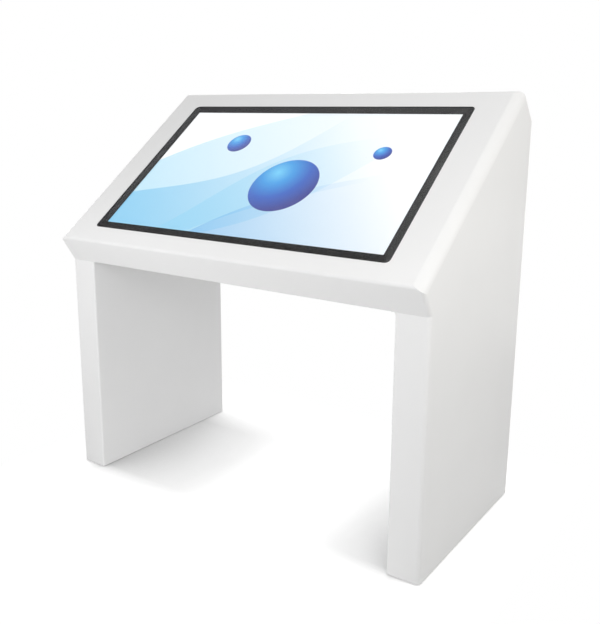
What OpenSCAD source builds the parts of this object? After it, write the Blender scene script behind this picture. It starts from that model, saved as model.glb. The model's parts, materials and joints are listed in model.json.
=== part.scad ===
// Touchscreen kiosk: a sheet-steel console on two slab legs, with a large flush touch display in
// its sloping top. x runs across the front, y from front to back and z up. The origin is on the
// floor, under the middle of the body.

/* [Body] */
// Overall width
body_w = 1215; // [1190:5:1260]
// Depth of the legs, front to back
leg_d = 591; // [570:1:640]
// Width of each leg
leg_w = 91; // [84:1:104]
// Height of the underside above the legs' lower edges
knee_h = 672; // [640:1:720]
// How far the nose stands out in front of the legs
nose_out = 49; // [42:1:58]
// Height of the nose above the fold under the apron
nose_rise = 76; // [70:1:90]
// Tilt of the top
slope_deg = 37.5; // [35:0.5:39]
// Length of the top, from nose to crest
slope_len = 713; // [706:1:730]
// Height of the back's upper edge above the underside
back_rise = 433; // [420:1:440]
// Gap between the legs' lower edges and the floor
floor_gap = 3; // [2.5:0.5:6]
// Thickness of the body's sheet steel
sheet = 2; // [1.5:0.1:2.4]

/* [Rounded edges] */
// Edges between the top and the sides
slope_edge_r = 28; // [20:1:29]
// Front outer edges of the apron and legs
front_edge_r = 10; // [6:1:14]
// Rear edges of the sides
rear_edge_r = 6; // [4:1:9]
// Edges of the rear chamfer and its lower bend
crest_edge_r = 8; // [5:1:12]
// Nose, seen from the side
nose_r = 8; // [5:1:12]
// Crest, seen from the side
crest_r = 10; // [6:1:14]
// Fold under the apron, and the fold under the back
fold_r = 4; // [3:0.5:6]
// Front inner edges of the legs
knee_edge_r = 6; // [4:0.5:6.5]
// Bent corners over the open knee space
arch_r = 10; // [7:1:16]

/* [Sheet joints] */
// Distance of the side panels' weld seams from the sides
seam_in = 30; // [30:1:34]
// Length of the fascia's return under the apron
front_lap = 20; // [14:1:26]
// Length of the fascia's return down the back
rear_lap = 25; // [20:1:30]
// Length of the leg liners' return at the back
liner_lap = 20; // [17:1:22]

/* [Display] */
// Width of the picture
screen_w = 941; // [920:1:960]
// Height of the picture
screen_h = 529.4; // [518:0.1:540]
// Lower edge of the picture above the nose, along the top
screen_up = 86; // [80:1:94]
// Black border round the picture
border = 26; // [20:1:30]
// Thickness of the touch glass
glass_t = 4; // [3:0.5:5]
// Corner radius of the touch glass
glass_r = 13; // [6:1:20]
// Gap between the glass and the fascia
glass_gap = 0.8; // [0.5:0.1:1.5]
// Thickness of the printed border behind the glass
print_t = 0.3; // [0.2:0.1:0.5]
// Width of the foam tape under the glass
tape_w = 12; // [8:1:15]
// Depth of the carrier's ledge under the face of the glass
ledge_depth = 5.5; // [5.5:0.1:8]
// Thickness of the carrier's sheet
carrier_t = 1.5; // [1:0.1:1.8]
// Width of the carrier's flange beyond the opening
carrier_flange = 24; // [18:1:26]
// Thickness of the display panel
panel_t = 2; // [1.5:0.1:3]
// Thickness of the display chassis
chassis_t = 13; // [11:1:18]
// Thickness of the straps behind the display
strap_t = 2.5; // [2:0.1:3]
// Width of the straps
strap_w = 50; // [40:1:60]
// Distance of each strap from the middle
strap_x = 250; // [230:5:300]

/* [Service door] */
// Width of the door opening
door_w = 760; // [720:5:780]
// Height of the door opening
door_h = 330; // [310:5:340]
// Height of the door's middle above the underside
door_up = 205; // [195:1:208]
// Gap round the door
door_gap = 3.5; // [3.2:0.1:4.5]
// Depth of the door's returns
door_return = 15; // [12:1:17]
// Depth of the frame's returns
frame_return = 20; // [19:1:26]
// Width of the frame's ledge behind the gasket
frame_ledge = 12; // [10:1:15]
// Number of louvres in each column
louvre_count = 8; // [5:1:9]
// Distance between louvres
louvre_pitch = 24; // [22:1:28]
// Width of a louvre
louvre_w = 200; // [150:5:220]
// How far a louvre stands out
louvre_out = 5; // [4:0.5:6]
// Radius of a louvre's hood
louvre_r = 14; // [12:1:18]
// Radius of the hinge barrels
hinge_r = 4; // [3.5:0.1:4.5]
// Radius of the hinge pins
pin_r = 2; // [1.5:0.1:2.2]
// Thickness of the hinge leaves
leaf_t = 1.2; // [1:0.1:1.3]
// Height of a hinge
hinge_h = 60; // [50:1:80]
// Distance between the hinges
hinge_span = 200; // [180:5:220]
// Radius of the lock's barrel
lock_r = 9.5; // [9:0.5:11]
// Radius of the lock's plug
plug_r = 6.5; // [6:0.1:7]
// Reach of the lock's cam
cam_reach = 30; // [26:1:34]

/* [Legs and feet] */
// Thickness of the leg covers
cover_t = 1.5; // [1:0.1:2]
// Radius of the cover screws' shanks
screw_r = 2; // [1.5:0.1:2.5]
// Thickness of the base plates
base_t = 4; // [3:0.5:6]
// Height of the base plates above the legs' lower edges
base_up = 22; // [22:1:30]
// Radius of the levelling feet's pads
foot_r = 20; // [16:1:25]
// Radius of the levelling feet's stems
stem_r = 5; // [4:0.5:6]
// Length of the levelling feet's stems above the pads
stem_l = 52; // [45:1:60]
// Distance of the feet from the legs' front and back
foot_in = 45; // [40:1:60]
// Radius of the floor anchor holes
anchor_r = 6; // [5:0.5:7]
// Distance of the anchor holes from the legs' front and back
anchor_in = 130; // [110:1:160]
// Radius of the cable hole in each base plate
cable_hole_r = 20; // [15:1:25]

/* [Works] */
// Size of the square fans
fan_size = 120; // [118:1:122]
// Depth of the fans
fan_d = 25; // [25:1:30]
// Distance of the fans from the middle
fan_x = 478; // [470:1:490]
// Number of blades
blade_count = 7; // [5:1:9]
// Width of the computer
pc_w = 200; // [180:5:220]
// Depth of the computer
pc_d = 180; // [160:5:200]
// Height of the computer
pc_h = 55; // [45:1:65]
// Distance of the computer's middle from the middle of the body
pc_x = 120; // [112:1:130]
// Height of the tray's platform
tray_up = 10; // [8:1:14]
// Radius of the computer's push button
button_r = 6; // [5:0.5:7]
// Width of the power supply
supply_w = 150; // [130:5:160]
// Size of the square speakers
speaker_size = 78; // [70:1:84]
// Distance of the speakers from the middle
speaker_x = 330; // [310:5:350]
// Distance of the speakers behind the legs' fronts
speaker_in = 90; // [80:1:100]
// Distance of the power inlet from the middle
inlet_x = 470; // [460:1:490]
// Height of the power inlet's middle above the underside
inlet_up = 62; // [56:1:70]

/* [Fits] */
// Radial clearance of pins, plugs and stems that turn or slide
fit = 0.05; // [0.02:0.01:0.08]
// Radial clearance of screws in their holes
screw_fit = 0.2; // [0.1:0.05:0.4]

/* [Hidden] */
$fn = 48;

// How far the hinge barrels stand out behind the back
barrel_gap = 0.5;
proud = 2 * hinge_r + barrel_gap;
// Outline of the side: heights and depths of its corners
z_low = floor_gap;
z_knee = z_low + knee_h;
z_nose = z_knee + nose_rise;
z_rear = z_knee + back_rise;
z_inside = z_knee + sheet;
y_nose = -(nose_out + leg_d + proud) / 2;
y_front = y_nose + nose_out;
y_back = y_front + leg_d;
y_crest = y_nose + slope_len * cos(slope_deg);
z_crest = z_nose + slope_len * sin(slope_deg);
lean = atan2(nose_out, nose_rise);
chamfer_deg = atan2(z_crest - z_rear, y_back - y_crest);
// Places across the width: side faces, seams, inner faces of the legs, ends of the arch corners
x_side = body_w / 2;
x_seam = x_side - seam_in;
knee_x = x_side - leg_w;
belly_x = knee_x - arch_r;
leg_x = x_side - leg_w / 2;
reach = 3000;
// How far the cutting forms stand off the body
around = 90;
// How much deeper than a true fillet's the centre of a bend lies
bend_ease = 1.08;
// How much less the leg's front edge is bent than the apron's, over the relief at the fold
fold_relief = 0.4;
// How far the leg's bend runs on past the mitre at the fold
mitre_lap = 0.05;
// How far cuts run past the faces that they open
past = 50;
// Gap under the fascia that keeps the carrier's welded flange out of its sheet
weld_gap = 0.01;
side_points = [[y_front, -reach], [y_back, -reach], [y_back, z_rear], [y_crest, z_crest],
    [y_nose, z_nose], [y_front, z_knee]];
head_points = [[y_front, z_knee], [y_back, z_knee], [y_back, z_rear], [y_crest, z_crest],
    [y_nose, z_nose]];
// Display
glass_w = screen_w + 2 * border;
glass_h = screen_h + 2 * border;
screen_mid = screen_up + screen_h / 2;
flange_top = sheet + weld_gap;
flange_low = flange_top + carrier_t;
ledge_low = ledge_depth + carrier_t;
panel_margin = 11;
panel_low = ledge_low + panel_t;
chassis_low = panel_low + chassis_t;
// Service door
door_z = z_knee + door_up;
hinge_x = -(door_w - door_gap) / 2;
hinge_y = y_back + barrel_gap + hinge_r;
lock_x = door_w / 2 - 30;
cam_y = y_back - frame_return - sheet - 1;
// Columns of louvres, moved from the middle to leave room for the lock
louvre_gap = 60;
louvre_shift = 40;
// Works
fan_r = fan_size / 2 - 2;
fan_hole = 0.4375 * fan_size;
// The fans stand at fan_x, or as near to it as the side seam and the door frame let them
fan_clear = 4;
fan_room = fan_clear + fan_size / 2;
fan_at = max(min(fan_x, x_seam - fan_room), door_w / 2 + sheet + fan_room);
hub_r = 20;
// The computer and the power supply, by their middles' distances from the back
pc_in = 165;
pc_y = y_back - pc_in;
pc_z = z_inside + tray_up;
supply_x = 170;
supply_in = 140;
supply_y = y_back - supply_in;
supply_d = 100;
supply_h = 48;

// ---- Geometry helpers ----

function unit(v) = v / norm(v);
function at(list, i) = list[(i + len(list)) % len(list)];
function half_angle(p, a, b) = acos(unit(a - p) * unit(b - p)) / 2;
function bisector(p, a, b) = unit(unit(a - p) + unit(b - p));
// Where a fillet of radius r leaves the two lines at a corner
function corner_cut(p, a, b, r) = r <= 0 ? [p] :
    let (t = r / tan(half_angle(p, a, b))) [p + unit(a - p) * t, p + unit(b - p) * t];
// An outline that runs anticlockwise, moved inwards
function inset_corner(p, a, b, d) =
    p + bisector(p, a, b) * sign(cross(b - p, a - p)) * d / sin(half_angle(p, a, b));
function inset(pts, d) =
    [for (i = [0:len(pts) - 1]) inset_corner(pts[i], at(pts, i - 1), at(pts, i + 1), d)];

// The whole of an outline that is symmetric about x = 0, from the points of its right half
function mirrored(half) = concat(half,
    [for (i = [len(half) - 1:-1:0]) [-half[i][0], half[i][1]]]);

// An outline with a radius for each corner, 0 for a sharp one
module rounded(pts, radii) {
    polygon([for (i = [0:len(pts) - 1])
        each corner_cut(pts[i], at(pts, i - 1), at(pts, i + 1), radii[i])]);
    for (i = [0:len(pts) - 1]) if (radii[i] > 0)
        translate(pts[i] + bisector(pts[i], at(pts, i - 1), at(pts, i + 1))
            * radii[i] / sin(half_angle(pts[i], at(pts, i - 1), at(pts, i + 1))))
            circle(r = radii[i]);
}

// What a bend takes off the corner p between a and b. It reaches as far along both edges as a
// fillet of radius r, but is a touch flatter, so that it meets them in a faint crease.
module bend_waste(p, a, b, r) {
    half = half_angle(p, a, b);
    inwards = bisector(p, a, b);
    centre = p + inwards * bend_ease * r / sin(half);
    function beyond(q) = let (u = unit(q - p))
        centre + around * unit(u * (inwards * u) - inwards);
    difference() {
        polygon([centre, beyond(a), p - inwards * around, beyond(b)]);
        translate(centre) circle(r = norm(centre - p - unit(a - p) * r / tan(half)));
    }
}

// An outline with a bend at each corner that has a radius
module bent(pts, radii) {
    difference() {
        polygon(pts);
        for (i = [0:len(pts) - 1]) if (radii[i] > 0)
            bend_waste(pts[i], at(pts, i - 1), at(pts, i + 1), radii[i]);
    }
}

// A rectangle about the origin with round corners
module pane(w, h, r) {
    rounded([[-w, -h] / 2, [w, -h] / 2, [w, h] / 2, [-w, h] / 2], [r, r, r, r]);
}

module pane_ring(w, h, r, wall) {
    difference() {
        pane(w, h, r);
        pane(w - 2 * wall, h - 2 * wall, max(r - wall, 1));
    }
}

// Extrudes a (y, z) outline across the body from x0 to x1
module across(x0, x1) {
    translate([x0, 0, 0]) rotate([90, 0, 90]) linear_extrude(x1 - x0) children();
}

// Extrudes an (x, z) outline forwards from the plane at y
module forwards(y, depth) {
    translate([0, y, 0]) rotate([90, 0, 0]) linear_extrude(depth) children();
}

// Extrudes an (x, y) outline upwards from z
module upwards(z, height) { translate([0, 0, z]) linear_extrude(height) children(); }

module both_sides() { children(); mirror([1, 0, 0]) children(); }

// The frame of the sloping top: x across, y up the slope from the picture's middle, z outwards
module on_screen() {
    translate([0, y_nose, z_nose]) rotate([slope_deg, 0, 0]) translate([0, screen_mid, 0])
        children();
}

function from_screen(x, u, n) = [x,
    y_nose + (screen_mid + u) * cos(slope_deg) - n * sin(slope_deg),
    z_nose + (screen_mid + u) * sin(slope_deg) + n * cos(slope_deg)];

// A layer of the display, from depth d0 down to d1 under the face of the glass
module layer(d0, d1) { translate([0, 0, -d1]) linear_extrude(d1 - d0) children(); }

// A button-head screw that points along -z, with its head's seat at the origin
module screw(shank_l, r = screw_r) {
    head_r = 1.9 * r;
    head_h = 1.1 * r;
    difference() {
        rotate_extrude() polygon([[0, 0], [head_r, 0], [head_r, 0.35 * head_h],
            [0.72 * head_r, head_h], [0, head_h]]);
        translate([0, 0, head_h / 2]) cylinder(r = 0.62 * r, h = head_h, $fn = 6);
    }
    translate([0, 0, -shank_l]) cylinder(r = r, h = shank_l);
}

// A lead swept along points, with round bends
function bend_points(p, a, b, r) =
    let (u = unit(a - p), v = unit(b - p), h = acos(max(-1, min(1, u * v))) / 2)
    h > 89 ? [p] :
    let (s = -unit(u + v), q = unit(u - s * (u * s)), c = p - s * r / sin(h))
    [for (k = [-1:0.5:1]) c + r * (s * cos(k * (90 - h)) - q * sin(k * (90 - h)))];
function route(pts, r) = [pts[0],
    for (i = [1:len(pts) - 2]) each bend_points(pts[i], pts[i - 1], pts[i + 1], r),
    pts[len(pts) - 1]];
function direction(path, i) = i == 0 ? unit(path[1] - path[0]) :
    i == len(path) - 1 ? unit(path[i] - path[i - 1]) :
    unit(unit(path[i] - path[i - 1]) + unit(path[i + 1] - path[i]));
function carry(side, d) = unit(side - d * (side * d));
function sides(path, i) = i == 0 ?
    [carry(abs(direction(path, 0)[2]) > 0.9 ? [1, 0, 0] : [0, 0, 1], direction(path, 0))] :
    let (s = sides(path, i - 1)) concat(s, [carry(s[i - 1], direction(path, i))]);
module lead(pts, r, bend) {
    corner_count = 8;
    path = route(pts, bend);
    n = len(path);
    side = sides(path, n - 1);
    ring = [for (i = [0:n - 1]) let (d = direction(path, i), a = side[i], b = cross(d, a))
        each [for (k = [0:corner_count - 1])
            path[i] + r * (a * cos(360 * k / corner_count) + b * sin(360 * k / corner_count))]];
    function id(i, k) = i * corner_count + k % corner_count;
    polyhedron(ring, [
        [for (k = [0:corner_count - 1]) id(0, k)],
        [for (k = [corner_count - 1:-1:0]) id(n - 1, k)],
        for (i = [0:n - 2]) for (k = [0:corner_count - 1])
            each [[id(i, k), id(i + 1, k), id(i + 1, k + 1)], [id(i, k), id(i + 1, k + 1), id(i, k + 1)]]]);
}

// ---- Body ----

// The body's corner seen along a face that is y = 0 here, and what its bend takes off
module corner_waste(inside, r) {
    corner = [x_side - inside, -inside];
    bend_waste(corner, corner - [0, around], corner - [around, 0], r - inside);
}

// That waste run along the face that leaves an outline's corner p at an angle
module edge_waste(p, deg, inside, r) {
    translate([0, p[0], p[1]]) rotate([deg + 90, 0, 0])
        linear_extrude(2 * reach, center = true) corner_waste(inside, r);
}

// All that lies above or below the mitre through the fold over the leg
module past_mitre(inside, to) {
    fold = inset(side_points, inside)[5];
    far_y = y_back + around;
    across(x_seam - around, x_side + 2 * around) polygon([fold,
        [far_y, z_knee + (far_y - y_front) * tan(lean / 2)], [far_y, to],
        [y_nose - 2 * around, to], [y_nose - 2 * around, fold[1]]]);
}

// The right end of the body from floor to crest, with its bends
module end_form(inside) {
    p = inset(side_points, inside);
    low = inside > 0 ? z_low - 10 : z_low;
    difference() {
        across(x_seam - 50, x_side - inside)
            bent([[p[0][0], low], [p[1][0], low], p[2], p[3], p[4], p[5]],
                [0, 0, crest_edge_r - inside, crest_r - inside, nose_r - inside, 0]);
        edge_waste([y_nose, z_nose], slope_deg, inside, slope_edge_r);
        edge_waste([y_crest, z_crest], -chamfer_deg, inside, crest_edge_r);
        edge_waste([y_back, z_rear], -90, inside, rear_edge_r);
        intersection() {
            edge_waste([y_front, z_knee], 90 + lean, inside, front_edge_r);
            past_mitre(inside, reach);
        }
        intersection() {
            edge_waste([y_front, z_knee], 90, inside, front_edge_r - fold_relief);
            translate([0, 0, mitre_lap]) past_mitre(inside, -reach);
        }
    }
}

// Places of the screws that hold the right leg's cover
cover_low = z_low + 9;
cover_high = z_knee + 20;
cover_x = [knee_x + 6, x_seam + 16];
function cover_screws() = [for (x = [cover_x[0] + 8, cover_x[1] - 8],
    z = [cover_low + 38, (cover_low + cover_high) / 2, cover_high - 10]) [x, z]];

module cover_holes() {
    for (p = cover_screws()) translate([p[0], y_back - 15, p[1]]) rotate([-90, 0, 0])
        cylinder(r = screw_r + screw_fit, h = 30);
}

// One flat sheet from the floor to the crest, bent round all its edges
module side_panel() {
    color("white") difference() {
        end_form(0);
        end_form(sheet);
        translate([x_seam - reach, -reach / 2, -1]) cube([reach, reach, reach]);
        cover_holes();
    }
}

// What the fascia leaves open to the rear panel and the belly panel
module behind_fascia() {
    polygon([[y_front + front_lap, z_knee - past], [y_back + past, z_knee - past],
        [y_back + past, z_rear - rear_lap], [y_back - past, z_rear - rear_lap],
        [y_front + front_lap, z_knee + past]]);
}

// The head's bent sheet seen from the side, between the legs and above them
module head_band() {
    difference() {
        bent(head_points, [fold_r, fold_r, crest_edge_r, crest_r, nose_r]);
        bent(inset(head_points, sheet), [for (r = [fold_r, fold_r, crest_edge_r, crest_r,
            nose_r]) r - sheet]);
    }
}

module leg_band() {
    p = side_points;
    q = inset(side_points, sheet);
    difference() {
        bent([p[5], [y_back, z_knee], p[2], p[3], p[4]],
            [0, 0, crest_edge_r, crest_r, nose_r]);
        bent([[q[5][0], z_knee - 1], [q[1][0], z_knee - 1], q[2], q[3], q[4], q[5]],
            [0, 0, crest_edge_r - sheet, crest_r - sheet, nose_r - sheet, 0]);
    }
}

// Top, nose, apron and rear chamfer in one bent sheet
module fascia() {
    color("white") difference() {
        union() {
            across(-belly_x, belly_x) difference() {
                head_band();
                behind_fascia();
            }
            both_sides() across(belly_x, x_seam) difference() {
                leg_band();
                behind_fascia();
            }
        }
        on_screen() translate([0, 0, -20]) linear_extrude(40)
            pane(glass_w + 2 * glass_gap, glass_h + 2 * glass_gap, glass_r + glass_gap);
    }
}

// Rows of intake slots and a field of speaker holes under each speaker
module belly_slots() {
    first_x = 40;
    rows_in = [210, 140];
    slot_pitch = 16;
    hole_pitch = 8;
    both_sides() for (i = [0:9], row = rows_in)
        translate([first_x + i * slot_pitch, y_back - row]) slot(5, 50);
    both_sides() translate([speaker_x, y_front + speaker_in])
        for (i = [-3:3], j = [-3:3]) if (i * i + j * j + i * j < 10)
            translate([(i + j / 2) * hole_pitch, j * hole_pitch * sin(60)]) circle(r = 2.2);
}

module slot(w, l) {
    translate([-w / 2, -(l - w) / 2]) square([w, l - w]);
    for (s = [-1, 1]) translate([0, s * (l - w) / 2]) circle(r = w / 2);
}

module belly_panel() {
    color("white") upwards(z_knee, sheet) difference() {
        translate([-belly_x, y_front + front_lap])
            square([2 * belly_x, leg_d - 2 * front_lap]);
        belly_slots();
    }
}

// Plan of the right leg's outer sheet, less the side panel and the opening at its back
module leg_plan(inside) {
    rounded([[knee_x + inside, y_front + inside], [x_side - inside, y_front + inside],
        [x_side - inside, y_back - inside], [knee_x + inside, y_back - inside]],
        [knee_edge_r - inside, front_edge_r - inside, rear_edge_r - inside,
            rear_edge_r - inside]);
}

module liner_plan() {
    difference() {
        leg_plan(0);
        leg_plan(sheet);
        translate([x_seam, y_front - 1]) square([leg_w, leg_d + 2]);
        translate([knee_x + liner_lap, y_back - 10]) square([leg_w, 20]);
    }
}

// Inner face of a leg, with its front and back returns, bent into the underside at the top
module leg_liner() {
    arch_z = z_knee - arch_r;
    lip_y = y_front + sheet;
    color("white") difference() {
        union() {
            upwards(z_low, arch_z - z_low) liner_plan();
            intersection() {
                union() {
                    translate([belly_x, 0, arch_z]) rotate([90, 0, 0])
                        rotate_extrude(angle = 90) mirror([0, 1]) intersection() {
                            translate([-belly_x, 0]) liner_plan();
                            translate([0, y_front - 1]) square([arch_r + liner_lap, leg_d + 2]);
                        }
                    upwards(arch_z, arch_r) intersection() {
                        liner_plan();
                        translate([knee_x + liner_lap - 2, y_front - 1]) square([leg_w, 50]);
                    }
                }
                across(belly_x, x_seam) polygon([[y_front, arch_z], [y_back, arch_z],
                    [y_back, z_knee], [y_back - sheet, z_knee], [y_back - sheet, z_inside],
                    [lip_y, z_inside], [lip_y, z_knee], [y_front, z_knee]]);
            }
        }
        cover_holes();
    }
}

// Concentric slots of a fan grille, crossed by four spokes
module fan_grille() {
    difference() {
        for (i = [1:5]) difference() {
            circle(r = i * fan_r / 5.5 + 3);
            circle(r = i * fan_r / 5.5 - 3);
        }
        for (a = [0:90:270]) rotate(a + 45) translate([0, -2.5]) square([fan_r + 5, 5]);
    }
    for (a = [0:90:270]) rotate(a) translate([fan_hole, fan_hole])
        circle(r = screw_r + screw_fit);
}

fan_z = door_z;
inlet_z = z_knee + inlet_up;
inlet_cut = [27, 56];

// The back, with the framed opening for the service door
module rear_panel() {
    difference() {
        color("white") union() {
            difference() {
                union() {
                    across(-belly_x, belly_x) intersection() {
                        head_band();
                        translate([y_back - front_lap, z_knee - 1])
                            square([front_lap + 1, back_rise - rear_lap + 1]);
                    }
                    both_sides() forwards(y_back, sheet) translate([belly_x, z_knee])
                        square([x_seam - belly_x, back_rise - rear_lap]);
                }
                forwards(y_back + 1, sheet + 2) translate([0, door_z])
                    pane(door_w + sheet, door_h + sheet, 6);
            }
            forwards(y_back, frame_return) translate([0, door_z])
                pane_ring(door_w + 2 * sheet, door_h + 2 * sheet, 6 + sheet, sheet);
            forwards(y_back - frame_return, sheet) translate([0, door_z])
                pane_ring(door_w + 2 * sheet, door_h + 2 * sheet, 6 + sheet,
                    sheet + frame_ledge);
        }
        forwards(y_back + 1, sheet + 2) {
            for (s = [-1, 1]) translate([s * fan_at, fan_z]) fan_grille();
            translate([inlet_x, inlet_z]) pane(inlet_cut[0], inlet_cut[1], 1);
        }
        both_sides() cover_holes();
    }
}

// Closes the opening at the back of a leg, over the foot and the floor anchors
module leg_cover() {
    color("white") difference() {
        forwards(y_back + cover_t, cover_t)
            translate([(cover_x[0] + cover_x[1]) / 2, (cover_low + cover_high) / 2])
                pane(cover_x[1] - cover_x[0], cover_high - cover_low, 5);
        cover_holes();
    }
}

module leg_cover_screws() {
    color("silver") both_sides() for (p = cover_screws())
        translate([p[0], y_back + cover_t, p[1]]) rotate([-90, 0, 0]) screw(8);
}

// Height of the top of the weld nuts under the base plates, and of the nuts
base_z = z_low + base_up;
nut_h = 8;

// Carries the feet's weld nuts, and the holes for floor anchors and a cable
module base_plate() {
    foot_y = [y_front + foot_in, y_back - foot_in];
    color("silver") difference() {
        union() {
            upwards(base_z, base_t) translate([leg_x, (y_front + y_back) / 2])
                pane(leg_w - 2 * sheet, leg_d - 2 * sheet, front_edge_r);
            for (y = foot_y) translate([leg_x, y, base_z - nut_h])
                cylinder(r = 1.9 * stem_r, h = nut_h, $fn = 6);
        }
        for (y = foot_y) translate([leg_x, y, base_z - nut_h - 1])
            cylinder(r = stem_r + fit, h = nut_h + base_t + 2);
        for (y = [y_front + anchor_in, y_back - anchor_in]) translate([leg_x, y, base_z - 1])
            cylinder(r = anchor_r, h = base_t + 2);
        translate([leg_x, (y_front + y_back) / 2, base_z - 1])
            cylinder(r = cable_hole_r, h = base_t + 2);
    }
}

// A threaded stem on a pad with a swivelling shoulder
module foot(s, y) {
    pad_h = 4;
    color("dimgray") translate([s * leg_x, y, 0]) {
        rotate_extrude() polygon([[0, 0], [foot_r - 1, 0], [foot_r, 1], [foot_r, pad_h],
            [foot_r * 0.6, pad_h + 1.5], [stem_r + 2, pad_h + 6], [0, pad_h + 6]]);
        cylinder(r = stem_r, h = pad_h + 6 + stem_l);
    }
}

// ---- Service door ----

module louvre_profile(r, depth) {
    intersection() {
        translate([louvre_out - louvre_r, 0]) circle(r = r);
        translate([-depth, 0]) square([depth + louvre_out + 1, louvre_r + 1]);
    }
}

module louvres(r, w, depth) {
    x_pair = (louvre_w + louvre_gap) / 2;
    low = -(louvre_count - 1) / 2 * louvre_pitch - louvre_r / 2;
    for (s = [-1, 1], i = [0:louvre_count - 1])
        translate([s * x_pair - louvre_shift, y_back, door_z + low + i * louvre_pitch])
            across(-w / 2, w / 2) louvre_profile(r, depth);
}

module service_door() {
    w = door_w - 2 * door_gap;
    h = door_h - 2 * door_gap;
    color("white") difference() {
        union() {
            forwards(y_back, sheet) translate([0, door_z]) pane(w, h, 4);
            forwards(y_back, door_return) translate([0, door_z]) pane_ring(w, h, 4, sheet);
            louvres(louvre_r, louvre_w, sheet / 2);
        }
        louvres(louvre_r - 1.5, louvre_w - 3, sheet + 1);
        translate([lock_x, y_back - sheet - 1, door_z]) rotate([-90, 0, 0])
            cylinder(r = lock_r + fit, h = sheet + 2);
    }
}

gasket_t = frame_return - door_return - 0.5;

module door_gasket() {
    color("black") forwards(y_back - frame_return + gasket_t, gasket_t) translate([0, door_z])
        pane_ring(door_w - 1, door_h - 1, 5, frame_ledge - 2);
}

module at_hinges() {
    for (s = [-1, 1]) translate([hinge_x, hinge_y, door_z + s * hinge_span / 2]) children();
}

// One half of a butt hinge, with the knuckles whose ranges it is given
module hinge_half(x, knuckles, other) {
    leaf_l = door_return - 1 + hinge_y - y_back;
    difference() {
        union() {
            translate([x, -leaf_l, -hinge_h / 2]) cube([leaf_t, leaf_l, hinge_h]);
            for (k = knuckles) translate([0, 0, k[0]]) cylinder(r = hinge_r, h = k[1] - k[0]);
        }
        for (k = other) translate([0, 0, k[0]]) cylinder(r = hinge_r + 0.4, h = k[1] - k[0]);
        translate([0, 0, -hinge_h]) cylinder(r = pin_r + fit, h = 2 * hinge_h);
    }
}

knuckle = hinge_h / 6;
knuckle_gap = 0.2;
outer_knuckles = [[-hinge_h / 2, -knuckle - knuckle_gap], [knuckle + knuckle_gap, hinge_h / 2]];
middle_knuckle = [[-knuckle, knuckle]];

module hinge_frame_leaves() {
    color("silver") at_hinges() hinge_half(-door_w / 2 - hinge_x, outer_knuckles,
        [[-knuckle - knuckle_gap, knuckle + knuckle_gap]]);
}

module hinge_door_leaves() {
    color("silver") at_hinges() hinge_half(-door_w / 2 + door_gap - leaf_t - hinge_x,
        middle_knuckle, [[-hinge_h / 2 - 1, -knuckle], [knuckle, hinge_h / 2 + 1]]);
}

// Pins with a cap at each end
module hinge_pins() {
    color("silver") at_hinges() rotate_extrude() polygon([[0, -hinge_h / 2 - 1.5],
        [pin_r, -hinge_h / 2 - 1.5], [pin_r + 1, -hinge_h / 2 - 1], [pin_r + 1, -hinge_h / 2],
        [pin_r, -hinge_h / 2], [pin_r, hinge_h / 2], [pin_r + 1, hinge_h / 2],
        [pin_r + 1, hinge_h / 2 + 1], [pin_r, hinge_h / 2 + 1.5], [0, hinge_h / 2 + 1.5]]);
}

// Turned parts of the lock, drawn along +z out of the door's face
module at_lock(y) { translate([lock_x, y, door_z]) rotate([-90, 0, 0]) children(); }

plug_step = 8;
plug_neck = plug_r - 1.5;

module lock_housing() {
    back = y_back - cam_y;
    color("silver") at_lock(y_back) difference() {
        union() {
            translate([0, 0, -back]) cylinder(r = lock_r, h = back);
            rotate_extrude() polygon([[0, 0], [lock_r + 3, 0], [lock_r + 3, 1],
                [lock_r + 2, 2.2], [0, 2.2]]);
        }
        translate([0, 0, -plug_step - fit]) cylinder(r = plug_r + fit, h = plug_step + 5);
        translate([0, 0, -back - 1]) cylinder(r = plug_neck + fit, h = back + 1);
    }
}

module lock_nut() {
    color("silver") at_lock(y_back - sheet - 4) difference() {
        cylinder(r = lock_r + 4.5, h = 4, $fn = 6);
        translate([0, 0, -1]) cylinder(r = lock_r + screw_fit, h = 6);
    }
}

module lock_plug() {
    back = y_back - cam_y;
    color("silver") at_lock(y_back) difference() {
        union() {
            translate([0, 0, -plug_step]) cylinder(r = plug_r, h = plug_step + 1.8);
            translate([0, 0, -back]) cylinder(r = plug_neck, h = back);
            translate([-3, -3, -back - 2.5]) cube([6, 6, 4]);
        }
        translate([-0.7, -3.6, -4]) cube([1.4, 7.2, 8]);
    }
}

// Held on the plug's square end, and upright while the lock is open
module lock_cam() {
    color("silver") at_lock(cam_y) difference() {
        translate([0, 0, -2.5]) linear_extrude(2.5) union() {
            circle(r = lock_r - 1);
            translate([-lock_r + 3, -cam_reach]) square([2 * lock_r - 6, cam_reach]);
        }
        translate([-3, -3, -4]) cube([6, 6, 6]);
    }
}

// ---- Display ----

module touch_glass() {
    color("gray") on_screen() layer(0, glass_t) pane(glass_w, glass_h, glass_r);
}

module glass_border() {
    color("black") on_screen() layer(glass_t, glass_t + print_t) difference() {
        pane(glass_w, glass_h, glass_r);
        square([screen_w, screen_h], center = true);
    }
}

module glass_tape() {
    color("black") on_screen() layer(glass_t + print_t, ledge_depth)
        pane_ring(glass_w - 4, glass_h - 4, glass_r - 2, tape_w);
}

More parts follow.
